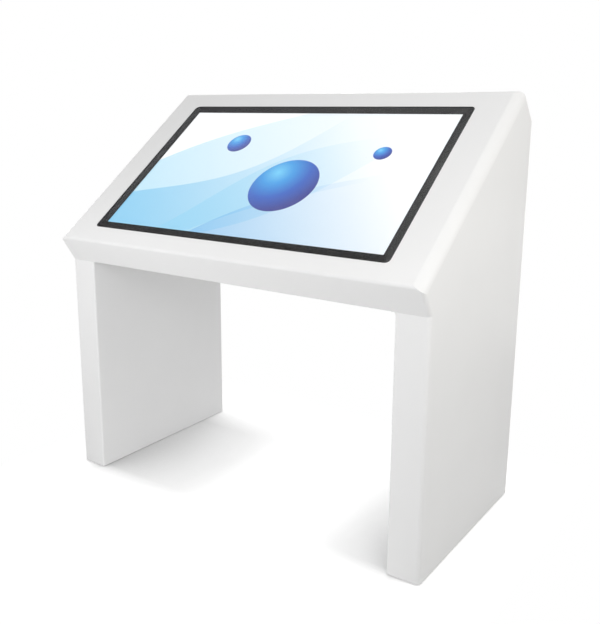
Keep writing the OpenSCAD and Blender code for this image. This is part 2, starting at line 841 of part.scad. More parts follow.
// A dished frame under the fascia that the glass is bonded to
module glass_carrier() {
    hole = [glass_w + 2 * glass_gap + 4, glass_h + 2 * glass_gap + 4];
    wall = 2 * carrier_t;
    side_flange = min(carrier_flange, x_side - slope_edge_r - hole[0] / 2);
    color("silver") on_screen() difference() {
        union() {
            layer(flange_top, flange_low) pane(hole[0] + 2 * side_flange,
                hole[1] + 2 * carrier_flange, glass_r + side_flange);
            layer(flange_top + 0.5, ledge_low) pane(hole[0] + wall, hole[1] + wall, glass_r + 4);
        }
        layer(sheet - 1, ledge_depth) pane(hole[0], hole[1], glass_r + 3);
        layer(0, ledge_low + 1) pane(screen_w + 4, screen_h + 4, 3);
        strap_screws(false) translate([0, 0, -1]) cylinder(r = screw_r + screw_fit, h = 6);
    }
}

// Places of the screws through the straps: their feet's and the chassis's
strap_foot_u = (glass_h + 2 * glass_gap + 4) / 2 + carrier_flange - 11;
module strap_screws(in_chassis) {
    both_sides() for (x = [-14, 14], s = [-1, 1])
        translate([strap_x + x, s * (in_chassis ? screen_h / 2 - 40 : strap_foot_u),
            in_chassis ? -chassis_low : -flange_low]) children();
}

module display_panel() {
    color("white") on_screen() layer(ledge_low, panel_low)
        pane(screen_w + 2 * panel_margin, screen_h + 2 * panel_margin, 3);
}

// A stepped tray with a raised, slotted cover over its boards, between the straps
module display_chassis() {
    board_low = chassis_low + 18;
    strap_room = 30;
    board_w = 2 * (strap_x - strap_w / 2 - strap_room);
    board_h = 240;
    vent_w = 6;
    vent_l = 150;
    vent_pitch = 24;
    color("silver") on_screen() difference() {
        union() {
            layer(panel_low, chassis_low) pane(screen_w + 2 * panel_margin,
                screen_h + 2 * panel_margin, 3);
            layer(chassis_low - 1, board_low) pane(board_w, board_h, 8);
        }
        for (i = [-5:5]) translate([i * vent_pitch, 0, 0]) layer(board_low - 3, board_low + 1)
            slot(vent_w, vent_l);
        strap_screws(true) translate([0, 0, -1]) cylinder(r = screw_r + screw_fit, h = 9);
    }
}

module display_strap() {
    top = -flange_low;
    low = -chassis_low;
    out = strap_foot_u + 9;
    web = (glass_h + 2 * glass_gap + 4) / 2 + carrier_t + 1.5;
    color("silver") on_screen() difference() {
        across(strap_x - strap_w / 2, strap_x + strap_w / 2) polygon(mirrored([[web, low],
            [web, top - strap_t], [web + strap_t, top], [out, top], [out, top - strap_t],
            [web + strap_t, top - strap_t], [web + strap_t, low - strap_t]]));
        strap_screws(false) translate([0, 0, -20]) cylinder(r = screw_r + screw_fit, h = 30);
        strap_screws(true) translate([0, 0, -10]) cylinder(r = screw_r + screw_fit, h = 20);
    }
}

module display_screws() {
    color("silver") on_screen() {
        strap_screws(false) translate([0, 0, -strap_t]) rotate([180, 0, 0])
            screw(strap_t + carrier_t - 0.2);
        strap_screws(true) translate([0, 0, -strap_t]) rotate([180, 0, 0]) screw(strap_t + 6);
    }
}

touch_box = [90, 44, 14];
touch_at = [-360, -120];

module touch_controller() {
    color("black") on_screen() translate([touch_at[0], touch_at[1], 0]) {
        layer(chassis_low, chassis_low + touch_box[2]) pane(touch_box[0], touch_box[1], 3);
        layer(chassis_low, chassis_low + 3) pane(touch_box[0] + 24, touch_box[1] / 2, 3);
    }
}

// ---- Works ----

// A hat-section tray on the belly panel
module computer_tray() {
    w = pc_w + 20;
    t = 1.5;
    h = tray_up;
    color("silver") translate([pc_x, pc_y + pc_d / 2 + 8, z_inside]) rotate([90, 0, 0])
        linear_extrude(pc_d + 16) polygon(mirrored([[w / 2 - t, h - t], [w / 2 - t, 0],
            [w / 2 + 14, 0], [w / 2 + 14, t], [w / 2, t], [w / 2, h]]));
}

// Width and height of each socket along the computer's back, from the button's side inwards
pc_sockets = [[13, 6], [13, 6], [15, 13], [15, 6], [16, 5], [9, 9]];
socket_gap = 8;
function socket_at(i) = i == 0 ? 0 :
    socket_at(i - 1) + (pc_sockets[i - 1][0] + pc_sockets[i][0]) / 2 + socket_gap;

// A fanless computer with cooling ribs along its top and its sockets towards the door
module computer() {
    rib = 12;
    first = pc_x + pc_w / 2 - 52;
    socket_low = pc_z + 10;
    color("dimgray") difference() {
        union() {
            upwards(pc_z, pc_h - rib) translate([pc_x, pc_y]) pane(pc_w, pc_d, 4);
            for (i = [0:12]) translate([pc_x - pc_w / 2 + 2 + i * (pc_w - 7) / 12, pc_y, 0])
                upwards(pc_z + pc_h - rib - 1, rib + 1) pane(3, pc_d - 10, 1);
        }
        at_button() translate([0, 0, -6]) cylinder(r = button_r + fit, h = 20);
        forwards(pc_y + pc_d / 2 + 1, 9) for (i = [0:len(pc_sockets) - 1])
            translate([first - socket_at(i) - pc_sockets[i][0] / 2, socket_low])
                square(pc_sockets[i]);
    }
}

module at_button() {
    translate([pc_x + pc_w / 2 - 24, pc_y + pc_d / 2, pc_z + pc_h / 2 - 6])
        rotate([-90, 0, 0]) children();
}

button_travel = 2;
module computer_button() {
    color("silver") at_button() translate([0, 0, -6 + button_travel + 0.5]) rotate_extrude()
        polygon([[0, 0], [button_r, 0], [button_r, 5.5], [button_r - 0.8, 6.3], [0, 6.3]]);
}

module power_supply() {
    color("silver") difference() {
        union() {
            upwards(z_inside, supply_h) translate([-supply_x, supply_y])
                pane(supply_w, supply_d, 2);
            upwards(z_inside, 1.5) translate([-supply_x, supply_y])
                pane(supply_w + 24, supply_d / 2, 2);
        }
        for (i = [-6:6]) translate([i * 10 - supply_x, supply_y])
            upwards(z_inside + supply_h - 3, 5) slot(4, supply_d - 30);
    }
}

module at_fan(s) { translate([s * fan_at, y_back - sheet, fan_z]) rotate([90, 0, 0]) children(); }

shaft_r = 2;
// Square frame with its hub held on four arms at the inner face
module fan_frame(s) {
    arm = 4;
    color("dimgray") at_fan(s) difference() {
        union() {
            linear_extrude(fan_d) difference() {
                pane(fan_size, fan_size, 6);
                circle(r = fan_r);
            }
            translate([0, 0, fan_d - arm]) linear_extrude(arm) {
                circle(r = hub_r);
                for (a = [30:90:300]) rotate(a) translate([0, -3]) square([fan_r + 1, 6]);
            }
            translate([0, 0, 8]) cylinder(r = shaft_r + 4, h = fan_d - 9);
        }
        for (x = [-1, 1], y = [-1, 1]) translate([x * fan_hole, y * fan_hole, -1])
            cylinder(r = screw_r + screw_fit, h = fan_d + 2);
        translate([0, 0, 7]) cylinder(r = shaft_r + fit, h = fan_d);
    }
}

// Cupped hub on a shaft, with curved blades set at an angle
module fan_rotor(s) {
    cup_h = fan_d - 7;
    color("black") at_fan(s) {
        difference() {
            translate([0, 0, 2]) cylinder(r = hub_r, h = cup_h);
            translate([0, 0, 4]) cylinder(r = hub_r - 2, h = cup_h);
        }
        translate([0, 0, 3]) cylinder(r = shaft_r, h = fan_d - 6);
        for (a = [0:360 / blade_count:359]) rotate(a) intersection() {
            difference() {
                translate([0, 0, 3]) cylinder(r = fan_r - 2, h = cup_h - 2);
                translate([0, 0, 2]) cylinder(r = hub_r - 1, h = cup_h);
            }
            rotate([0, 90, 0]) translate([6, -22, 0]) difference() {
                cylinder(r = 30, h = fan_r);
                translate([0, 0, -1]) cylinder(r = 28.4, h = fan_r + 2);
                translate([-40, -50, -1]) cube([80, 50, fan_r + 2]);
            }
        }
    }
}

module fan_screws() {
    color("silver") for (s = [-1, 1], x = [-1, 1], z = [-1, 1])
        translate([s * fan_at + x * fan_hole, y_back, fan_z + z * fan_hole])
            rotate([-90, 0, 0]) screw(sheet + fan_d - 4);
}

// A square chassis speaker that faces down through the belly panel
module speaker(s) {
    cone_r = speaker_size / 2 - 6;
    color("dimgray") translate([s * speaker_x, y_front + speaker_in, z_inside]) difference() {
        union() {
            linear_extrude(3) pane(speaker_size, speaker_size, 8);
            rotate_extrude() polygon([[0, 2], [cone_r + 3, 2], [cone_r - 4, 24], [0, 24]]);
            translate([0, 0, 23]) cylinder(r = 24, h = 14);
        }
        rotate_extrude() polygon([[0, -1], [cone_r, -1], [cone_r, 4], [cone_r - 2, 4],
            [cone_r - 7, 22], [0, 22]]);
    }
}

module speaker_cone(s) {
    cone_r = speaker_size / 2 - 6;
    color("black") translate([s * speaker_x, y_front + speaker_in, z_inside]) rotate_extrude()
        polygon([[10, 22], [cone_r - 8, 4.6], [cone_r - 3, 4], [cone_r - 0.2, 4],
            [cone_r - 0.2, 3], [cone_r - 9, 3.4], [9, 20], [0, 18], [0, 22]]);
}

// Snap-in power inlet with a switch over its socket, in the frame of the back's outer face
module at_inlet() { translate([inlet_x, y_back, inlet_z]) children(); }

rocker_at = [-3, 14];
rocker_r = 6.7;
rocker_tilt = 8;
socket_z = -11;

module inlet_housing() {
    depth = 26;
    color("black") at_inlet() difference() {
        union() {
            forwards(2.5, 2.5) pane(inlet_cut[0] + 5, inlet_cut[1] + 5, 3);
            forwards(0, depth) pane(inlet_cut[0] - 0.4, inlet_cut[1] - 0.4, 1);
        }
        forwards(5, 5 + 16) translate([0, socket_z]) polygon([[-12.2, -8.4], [12.2, -8.4],
            [12.2, 4.4], [8.2, 8.4], [-8.2, 8.4], [-12.2, 4.4]]);
        across(-10, 10) translate(rocker_at) circle(r = rocker_r + 0.4);
        across(-10, 10) translate([0, rocker_at[1] - rocker_r - 0.4])
            square([5, 2 * rocker_r + 0.8]);
        across(-12, 12) translate(rocker_at) circle(r = 1.5 + fit);
    }
}

module inlet_pins() {
    color("silver") at_inlet() for (p = [[0, 2.5], [-7, -2], [7, -2]])
        translate([p[0] - 1, -16, socket_z + p[1] - 2]) cube([2, 15, 4]);
}

// Tilted to its off side at rest
module inlet_rocker() {
    color("firebrick") at_inlet() {
        across(-9.7, 9.7) translate(rocker_at) rotate(rocker_tilt) difference() {
            circle(r = rocker_r);
            polygon([[3.6, 0], [5.6, rocker_r + 1], [12, rocker_r + 1], [12, -rocker_r - 1],
                [5.6, -rocker_r - 1]]);
        }
        across(-11.5, 11.5) translate(rocker_at) circle(r = 1.5);
    }
}

// ---- Leads, clipped between the housings ----

lead_r = 4;
thin_r = 2.5;
bend = 12;
run_z = z_inside + 12;
board_z = z_inside + 30;
side_z = z_inside + 22;
// Where the leads run across: behind the works, beside them and in front of them
run_in = 50;
run_y = y_back - run_in;
fan_run_in = 110;
fan_run_y = y_back - fan_run_in;
touch_run_off = 36;
touch_run_y = supply_y - supply_d / 2 - touch_run_off;
speaker_run_y = [-20, -40];
board_u = -120;
board_n = -chassis_low - 9;
fan_lead_x = fan_at - 40;
fan_lead_z = run_z + 14;
fan_lead_ends = [-supply_x - supply_w / 2, pc_x + pc_w / 2];

// From the inlet to the power supply, along the belly panel behind the computer
module mains_lead() {
    color("black") lead([[inlet_x, y_back - 26, inlet_z + socket_z],
        [inlet_x, run_y, inlet_z + socket_z], [inlet_x, run_y, run_z],
        [-supply_x, run_y, run_z], [-supply_x, supply_y + supply_d / 2, run_z]], lead_r, bend);
}

// From the computer and the power supply up to the boards behind the display
module display_lead() {
    color("black") {
        x = pc_x + 40;
        front = pc_y - pc_d / 2;
        lead([[x, front, board_z], [x, front - 40, board_z], from_screen(x, board_u - 30,
            board_n), from_screen(x, board_u, board_n)], lead_r - 0.5, bend);
        psu_front = supply_y - supply_d / 2;
        lead([[-supply_x, psu_front, board_z], [-supply_x, psu_front - 80, board_z],
            from_screen(-supply_x, board_u - 30, board_n),
            from_screen(-supply_x, board_u, board_n)], lead_r - 1, bend);
        lead([[-supply_x + supply_w / 2, pc_y + 40, board_z],
            [(pc_x - supply_x) / 2, pc_y + 40, board_z],
            [pc_x - pc_w / 2, pc_y + 40, board_z]], lead_r - 1, bend);
    }
}

module touch_lead() {
    u = touch_at[1] - touch_box[1] / 2;
    n = -chassis_low - touch_box[2] / 2;
    color("black") lead([from_screen(touch_at[0], u, n), from_screen(touch_at[0], u - 30, n),
        [touch_at[0], touch_run_y, side_z], [pc_x - pc_w / 2, touch_run_y, side_z]],
        thin_r, bend);
}

module speaker_leads() {
    top = z_inside + 37;
    y = y_front + speaker_in;
    front = pc_y - pc_d / 2;
    color("black") for (s = [-1, 1]) {
        x = pc_x + s * (pc_w / 2 - 20);
        run = speaker_run_y[s < 0 ? 0 : 1];
        lead([[s * speaker_x, y, top], [s * speaker_x, y, top + 18],
            [s * speaker_x, run, top + 18], [x, run, top + 18], [x, run, board_z],
            [x, front, board_z]], thin_r - 0.5, 6);
    }
}

module fan_leads() {
    z = fan_lead_z;
    color("black") for (s = [0, 1]) {
        x = (2 * s - 1) * fan_lead_x;
        lead([[x, y_back - 15, fan_z - fan_size / 2], [x, y_back - 15, z],
            [x, fan_run_y, z], [fan_lead_ends[s], fan_run_y, z]], thin_r - 0.5, 8);
    }
}

// A saddle on the belly panel round a lead that runs across
module lead_clip(x, y, z, r) {
    across(x - 6, x + 6) difference() {
        translate([y - r - 3, z_inside]) square([2 * r + 6, z + r + 2.5 - z_inside]);
        translate([y, z]) circle(r = r + 0.3);
    }
}

// Places that divide the way from a to b evenly
function between(a, b, count) = [for (i = [1:count]) a + (b - a) * i / (count + 1)];

module lead_clips() {
    color("black") {
        for (x = between(-supply_x, inlet_x, 3)) lead_clip(x, run_y, run_z, lead_r);
        for (x = between(touch_at[0], pc_x - pc_w / 2, 2))
            lead_clip(x, touch_run_y, side_z, thin_r);
        for (s = [0, 1], x = between(fan_lead_ends[s], (2 * s - 1) * fan_lead_x, 1))
            lead_clip(x, fan_run_y, fan_lead_z, thin_r - 0.5);
    }
}

// ---- Nodes ----

mirror([1, 0, 0]) side_panel();  // side_panel_left
side_panel();  // side_panel_right
fascia();
belly_panel();
mirror([1, 0, 0]) leg_liner();  // leg_liner_left
leg_liner();  // leg_liner_right
rear_panel();
mirror([1, 0, 0]) leg_cover();  // leg_cover_left
leg_cover();  // leg_cover_right
leg_cover_screws();
mirror([1, 0, 0]) base_plate();  // base_plate_left
base_plate();  // base_plate_right
foot(-1, y_front + foot_in);  // foot_front_left
foot(1, y_front + foot_in);  // foot_front_right
foot(-1, y_back - foot_in);  // foot_rear_left
foot(1, y_back - foot_in);  // foot_rear_right
service_door();
door_gasket();
hinge_frame_leaves();
hinge_door_leaves();
hinge_pins();
lock_housing();
lock_nut();
lock_plug();
lock_cam();
touch_glass();
glass_border();
glass_tape();
glass_carrier();
display_panel();
display_chassis();
mirror([1, 0, 0]) display_strap();  // display_strap_left
display_strap();  // display_strap_right
display_screws();
touch_controller();
computer();
computer_button();
computer_tray();
power_supply();
fan_frame(-1);  // fan_frame_left
fan_frame(1);  // fan_frame_right
fan_rotor(-1);  // fan_rotor_left
fan_rotor(1);  // fan_rotor_right
fan_screws();
speaker(-1);  // speaker_left
speaker(1);  // speaker_right
speaker_cone(-1);  // speaker_cone_left
speaker_cone(1);  // speaker_cone_right
inlet_housing();
inlet_pins();
inlet_rocker();
mains_lead();
display_lead();
touch_lead();
speaker_leads();
fan_leads();
lead_clips();
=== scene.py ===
import json
import math

import bpy
from mathutils import Matrix, Vector


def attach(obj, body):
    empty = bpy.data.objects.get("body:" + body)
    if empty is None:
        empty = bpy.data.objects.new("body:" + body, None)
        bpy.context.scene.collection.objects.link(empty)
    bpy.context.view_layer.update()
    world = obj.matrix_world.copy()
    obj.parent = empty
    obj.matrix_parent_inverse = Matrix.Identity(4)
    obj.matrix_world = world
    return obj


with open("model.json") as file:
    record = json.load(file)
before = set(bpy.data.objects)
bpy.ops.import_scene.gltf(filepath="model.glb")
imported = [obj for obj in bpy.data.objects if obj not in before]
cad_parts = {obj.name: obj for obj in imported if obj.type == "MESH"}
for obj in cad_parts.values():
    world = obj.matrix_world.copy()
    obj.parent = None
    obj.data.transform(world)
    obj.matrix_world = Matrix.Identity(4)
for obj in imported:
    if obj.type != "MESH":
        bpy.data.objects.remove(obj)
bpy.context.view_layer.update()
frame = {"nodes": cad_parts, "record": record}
nodes = frame["nodes"]
scene = bpy.context.scene
MM = 0.001


# ---- Camera ----

IMAGE_W, IMAGE_H = 600, 624
FOCAL_PX = 769.821
CENTRE_PX = (301.775, 288.486)
YAW, PITCH, ROLL = 0.60442, 0.22103, 0.00787
CAMERA_PLACE = (1.315009, -1.809422, 1.114904)
SENSOR_MM = 36
NEAREST, FARTHEST = 0.05, 100


def make_camera():
    """The camera, turned by yaw, then pitch, then roll, in radians, from looking along +y."""
    forward = Vector((
        -math.sin(YAW) * math.cos(PITCH), math.cos(YAW) * math.cos(PITCH), -math.sin(PITCH)))
    level = Vector((math.cos(YAW), math.sin(YAW), 0))
    upright = level.cross(forward)
    right = math.cos(ROLL) * level + math.sin(ROLL) * upright
    up = -math.sin(ROLL) * level + math.cos(ROLL) * upright

    lens = bpy.data.cameras.new("camera")
    lens.sensor_width = SENSOR_MM
    lens.lens = FOCAL_PX * SENSOR_MM / IMAGE_H
    lens.shift_x = (IMAGE_W / 2 - CENTRE_PX[0]) / IMAGE_H
    lens.shift_y = (CENTRE_PX[1] - IMAGE_H / 2) / IMAGE_H
    lens.clip_start, lens.clip_end = NEAREST, FARTHEST
    camera = bpy.data.objects.new("camera", lens)
    scene.collection.objects.link(camera)
    turned = Matrix((right, up, -forward)).transposed().to_4x4()
    camera.matrix_world = Matrix.Translation(CAMERA_PLACE) @ turned
    return camera


scene.camera = make_camera()


# ---- Node helpers ----

class Nodes:
    """Builds the node tree of one material or world, its owner."""

    def __init__(self, owner, output="ShaderNodeOutputMaterial"):
        self.owner = owner
        owner.use_nodes = True
        self.tree = owner.node_tree
        self.tree.nodes.clear()
        self.out = self.add(output)

    def add(self, kind, **values):
        node = self.tree.nodes.new(kind)
        for key, value in values.items():
            setattr(node, key, value)
        return node

    def link(self, source, socket):
        self.tree.links.new(source, socket)

    def put(self, socket, value):
        """Links a socket's value, or sets a plain one."""
        if isinstance(value, bpy.types.NodeSocket):
            self.link(value, socket)
        elif value is not None:
            socket.default_value = value

    def math(self, operation, a, b=None, c=None):
        node = self.add("ShaderNodeMath", operation=operation)
        for socket, value in zip(node.inputs, (a, b, c)):
            self.put(socket, value)
        return node.outputs[0]

    def product(self, a, b, c=1.0):
        return self.math("MULTIPLY", self.math("MULTIPLY", a, b), c)

    def blend(self, share, a, b):
        """a where the share is 1, b where it is 0."""
        rest = self.math("SUBTRACT", 1.0, share)
        return self.math("ADD", self.math("MULTIPLY", a, share), self.math("MULTIPLY", b, rest))

    def position(self, stretch=(1, 1, 1)):
        """The place in metres, times stretch along each axis."""
        mapping = self.add("ShaderNodeMapping")
        mapping.inputs["Scale"].default_value = stretch
        self.link(self.add("ShaderNodeTexCoord").outputs["Object"], mapping.inputs["Vector"])
        return mapping.outputs[0]

    def axes(self, vector):
        split = self.add("ShaderNodeSeparateXYZ")
        self.link(vector, split.inputs[0])
        return split.outputs

    def noise(self, scale, detail=2, rough=0.5, stretch=(1, 1, 1)):
        """Noise with about scale features in a metre."""
        node = self.add("ShaderNodeTexNoise")
        self.put(node.inputs["Vector"], self.position(stretch))
        node.inputs["Scale"].default_value = scale
        node.inputs["Detail"].default_value = detail
        node.inputs["Roughness"].default_value = rough
        return node.outputs["Fac"]

    def cells(self, scale):
        """Voronoi cells, about scale of them in a metre."""
        node = self.add("ShaderNodeTexVoronoi")
        self.put(node.inputs["Vector"], self.position())
        node.inputs["Scale"].default_value = scale
        return node.outputs["Distance"]

    def span(self, value, lo, hi, start=0.3, end=0.7):
        """lo up to start, hi from end, and even between them. Noise mostly lies in 0.3 to 0.7."""
        node = self.add("ShaderNodeMapRange")
        sockets = ("Value", "From Min", "From Max", "To Min", "To Max")
        for key, setting in zip(sockets, (value, start, end, lo, hi)):
            self.put(node.inputs[key], setting)
        return node.outputs[0]

    def ramp(self, value, *stops):
        """Colours or greys at places along 0 to 1."""
        node = self.add("ShaderNodeValToRGB")
        self.put(node.inputs[0], value)
        elements = node.color_ramp.elements
        while len(elements) < len(stops):
            elements.new(0.5)
        for element, (place, tone) in zip(elements, stops):
            element.position = place
            element.color = (*tone, 1) if isinstance(tone, tuple) else (tone, tone, tone, 1)
        return node.outputs[0]

    def mix(self, factor, a, b):
        node = self.add("ShaderNodeMix", data_type="RGBA")
        self.put(node.inputs[0], factor)
        for socket, value in ((node.inputs[6], a), (node.inputs[7], b)):
            self.put(socket, (*value, 1) if isinstance(value, tuple) else value)
        return node.outputs[2]

    def bump(self, height, depth):
        """A normal for a relief of that depth in metres."""
        node = self.add("ShaderNodeBump")
        node.inputs["Distance"].default_value = depth
        self.put(node.inputs["Height"], height)
        return node.outputs[0]

    def shown(self):
        """1 for camera, glossy and transmission rays, which show surfaces, and 0 for the rest."""
        rays = self.add("ShaderNodeLightPath").outputs
        direct = self.math("MAXIMUM", rays["Is Camera Ray"], rays["Is Glossy Ray"])
        return self.math("MAXIMUM", direct, rays["Is Transmission Ray"])

    def principled(self, **values):
        shader = self.add("ShaderNodeBsdfPrincipled")
        for key, value in values.items():
            is_colour = isinstance(value, tuple)
            self.put(shader.inputs[key.replace("_", " ")], (*value, 1) if is_colour else value)
        self.link(shader.outputs[0], self.out.inputs[0])
        return self.owner


def material_nodes(name):
    return Nodes(bpy.data.materials.new(name))


# ---- Finishes ----

def powder(name, colour, rough=(0.36, 0.42), peel=0.00003):
    """Powder coat: a fine orange peel and a barely uneven tone."""
    n = material_nodes(name)
    darker = tuple(c * 0.985 for c in colour)
    return n.principled(
        Base_Color=n.mix(n.span(n.noise(7, 3), 0, 1), darker, colour),
        Roughness=n.span(n.noise(180, 3), *rough),
        Normal=n.bump(n.noise(620, 2, 0.45), peel),
        Specular_IOR_Level=0.22)


def zinc_plate(name):
    """Zinc plate: faint blue and straw tints over a fine rolled grain along y."""
    n = material_nodes(name)
    blue, plain, straw = (0.40, 0.42, 0.46), (0.48, 0.49, 0.50), (0.52, 0.50, 0.44)
    return n.principled(
        Base_Color=n.ramp(n.noise(38, 3), (0.3, blue), (0.55, plain), (0.75, straw)),
        Metallic=1.0,
        Roughness=n.span(n.noise(240, 3), 0.28, 0.44),
        Normal=n.bump(n.noise(900, 2, stretch=(1, 0.06, 1)), 0.00003))


def bright_steel(name):
    """Polished, plated metal with faint upright scuffs."""
    n = material_nodes(name)
    scuff = n.noise(700, 3, stretch=(1, 1, 0.08))
    return n.principled(
        Base_Color=n.mix(n.span(n.noise(60), 0, 1), (0.54, 0.54, 0.55), (0.62, 0.62, 0.62)),
        Metallic=1.0,
        Roughness=n.span(scuff, 0.1, 0.22),
        Normal=n.bump(scuff, 0.00001))


def brushed(name, colour):
    """Metal brushed along x."""
    n = material_nodes(name)
    streak = n.noise(850, 3, 0.6, stretch=(0.05, 1, 1))
    darker = tuple(c * 0.9 for c in colour)
    return n.principled(
        Base_Color=n.mix(n.span(streak, 0, 1), darker, colour),
        Metallic=1.0,
        Roughness=n.span(streak, 0.26, 0.42),
        Normal=n.bump(streak, 0.00003))


def moulded(name, colour, rough=(0.42, 0.56), grain=1100, depth=0.00005):
    """Moulded plastic with a fine spark-eroded grain."""
    n = material_nodes(name)
    lighter = tuple(c * 1.25 + 0.004 for c in colour)
    return n.principled(
        Base_Color=n.mix(n.span(n.noise(30, 3), 0, 1), colour, lighter),
        Roughness=n.span(n.noise(300, 2), *rough),
        Normal=n.bump(n.cells(grain), depth))


def rubber(name, colour, rough=(0.62, 0.78)):
    """Rubber or a soft cable jacket, dull and slightly dusty."""
    n = material_nodes(name)
    lighter = tuple(c * 1.5 + 0.006 for c in colour)
    return n.principled(
        Base_Color=n.mix(n.span(n.noise(120, 4), 0, 1), colour, lighter),
        Roughness=n.span(n.noise(400, 2), *rough),
        Normal=n.bump(n.noise(1500, 3), 0.00005))


def glass(name):
    """Clear glass whose anti-reflective coating weakens its reflections."""
    n = material_nodes(name)
    return n.principled(
        Base_Color=(0.98, 0.99, 0.99), Roughness=0.0, IOR=1.15, Transmission_Weight=1.0)


def ink(name):
    """Ceramic ink fired on the underside of the glass, with a painted reflection that turns it
    greyer towards the right.
    """
    n = material_nodes(name)
    # black is the ink's own colour; the lighter grey is a painted reflection, not the ink's colour
    black, painted_reflection_grey, speck = (0.0235, 0.022, 0.027), (0.076, 0.075, 0.076), (0.03, 0.03, 0.032)
    across = n.axes(n.position())[0]
    # painted reflection: the ink's colour blends from black to the lighter grey towards the right
    tone = n.mix(n.span(across, 0, 1, -0.5, 0.15), black, painted_reflection_grey)
    return n.principled(
        Base_Color=n.mix(n.span(n.noise(50), 0, 0.1), tone, speck),
        Roughness=n.span(n.noise(900), 0.34, 0.36),
        Specular_IOR_Level=0.1)


FINISHES = {
    "white_paint": powder("powder_white", (0.80, 0.80, 0.80)),
    "zinc": zinc_plate("zinc_plate"),
    "steel_bright": bright_steel("steel_bright"),
    "glass": glass("glass_clear"),
    "black_print": ink("ink_black"),
    "picture": moulded("panel_edge", (0.03, 0.03, 0.03)),
    "black_rubber": rubber("rubber_black", (0.02, 0.02, 0.02)),
    "black_plastic": moulded("plastic_black", (0.02, 0.02, 0.022)),
    "dark_metal": powder("powder_black", (0.028, 0.028, 0.03), (0.45, 0.55), 0.00004),
    "red_plastic": moulded("plastic_red", (0.45, 0.02, 0.015), (0.2, 0.3), 900, 0.00001),
    "alu": brushed("alu_brushed", (0.76, 0.76, 0.77)),
    "cable": rubber("cable_jacket", (0.016, 0.016, 0.017), (0.45, 0.58)),
    "brass": bright_steel("brass_plated"),
}
slot_of = {part["node"]: part["material_slot"] for part in frame["record"]["subparts"]}
for name, node in nodes.items():
    node.data.materials.clear()
    node.data.materials.append(FINISHES[slot_of[name]])


# ---- The picture on the display ----

# In mm: the picture's size, how far its middle is up the slope from the nose, how far it lies below
# the slope's surface, and where the nose is. The slope is in radians.
PICTURE_W, PICTURE_H = 941.0, 529.3
PICTURE_MID = 350.7
PICTURE_DEPTH = 6.9
NOSE_Y, NOSE_Z = -324.25, 751.0
SLOPE = math.radians(37.5)

# The picture's motifs, in picture heights from its lower left corner
WAVE_TURN = math.radians(34)
SOFT_EDGE = 0.0015
WHITE = (252, 253, 254)
# Each wave: its upper and lower edge as (middle, swing, rate, phase), its colour,
# and (where it is strongest, where it is gone, how strong)
WAVES = (
    ((0.36, 0.10, 2.2, 0.4), (-0.30, 0.12, 2.6, 2.4), (170, 220, 242), (0.2, 1.75, 0.8)),
    ((0.16, 0.13, 2.8, 2.3), (-0.42, 0.10, 2.1, 0.2), (104, 192, 234), (0.1, 1.5, 0.75)),
    ((-0.12, 0.12, 3.1, 4.4), (-0.95, 0.10, 2.0, 1.0), (136, 206, 238), (0.2, 1.6, 0.75)),
    ((-0.40, 0.10, 2.6, 5.6), (-1.2, 0.05, 2.0, 1.0), (70, 164, 226), (0.3, 1.6, 0.6)),
)
# Each ball: x, y, radius. Its tones run from its brightest point to as far as the light reaches.
# That point, from the ball's middle, and that reach are in the ball's radii.
BALLS = ((1.0, 0.40, 0.2), (0.50, 0.72, 0.075), (1.46, 0.68, 0.05))
BALL_TONES = (
    (0, (110, 205, 246)), (0.3, (36, 150, 224)), (0.65, (22, 88, 190)), (1, (38, 46, 140)))
BRIGHTEST_X, BRIGHTEST_Y, LIGHT_REACH = -0.42, 0.46, 1.5


def linear(rgb):
    """The linear colour of one given as 0 to 255 on the screen."""
    return tuple(((c / 255 + 0.055) / 1.055) ** 2.4 for c in rgb)


def picture_material():
    """Soft blue waves and three balls on white, as a lit display shows them."""
    n = material_nodes("screen_picture")
    uv = n.axes(n.add("ShaderNodeUVMap", uv_map="UVMap").outputs[0])
    x = n.math("MULTIPLY", uv[0], PICTURE_W / PICTURE_H)
    y = uv[1]
    cosine, sine = math.cos(WAVE_TURN), math.sin(WAVE_TURN)
    along = n.math("ADD", n.math("MULTIPLY", x, cosine), n.math("MULTIPLY", y, sine))
    beside = n.math("SUBTRACT", n.math("MULTIPLY", y, cosine), n.math("MULTIPLY", x, sine))

    def edge(middle, swing, rate, phase):
        angle = n.math("MULTIPLY_ADD", along, rate, phase)
        return n.math("MULTIPLY_ADD", n.math("SINE", angle), swing, middle)

    def step(value):
        """0 below zero and 1 above it."""
        return n.span(value, 0, 1, -SOFT_EDGE, SOFT_EDGE)

    def distance(to_x, to_y):
        dx = n.math("SUBTRACT", x, to_x)
        dy = n.math("SUBTRACT", y, to_y)
        return n.math("SQRT", n.math("ADD", n.math("MULTIPLY", dx, dx), n.math("MULTIPLY", dy, dy)))

    tone = linear(WHITE)
    for upper, lower, colour, (full, gone, most) in WAVES:
        below_upper = step(n.math("SUBTRACT", edge(*upper), beside))
        above_lower = step(n.math("SUBTRACT", beside, edge(*lower)))
        faded = n.span(along, most, 0, full, gone)
        tone = n.mix(n.product(below_upper, above_lower, faded), tone, linear(colour))
    for ball_x, ball_y, radius in BALLS:
        from_light = distance(ball_x + BRIGHTEST_X * radius, ball_y + BRIGHTEST_Y * radius)
        shade = n.ramp(n.span(from_light, 0, 1, 0, LIGHT_REACH * radius),
            *((place, linear(rgb)) for place, rgb in BALL_TONES))
        inside = n.span(distance(ball_x, ball_y), 1, 0, radius - SOFT_EDGE, radius + SOFT_EDGE)
        tone = n.mix(inside, tone, shade)
    return n.principled(
        Base_Color=(0.01, 0.01, 0.012), Roughness=0.3, Emission_Color=tone, Emission_Strength=1.0)


def on_slope(across, up, out):
    """A point of the sloping top: mm across, up from the picture's middle, and outwards."""
    run = PICTURE_MID + up
    return Vector((
        across,
        NOSE_Y + run * math.cos(SLOPE) - out * math.sin(SLOPE),
        NOSE_Z + run * math.sin(SLOPE) + out * math.cos(SLOPE))) * MM


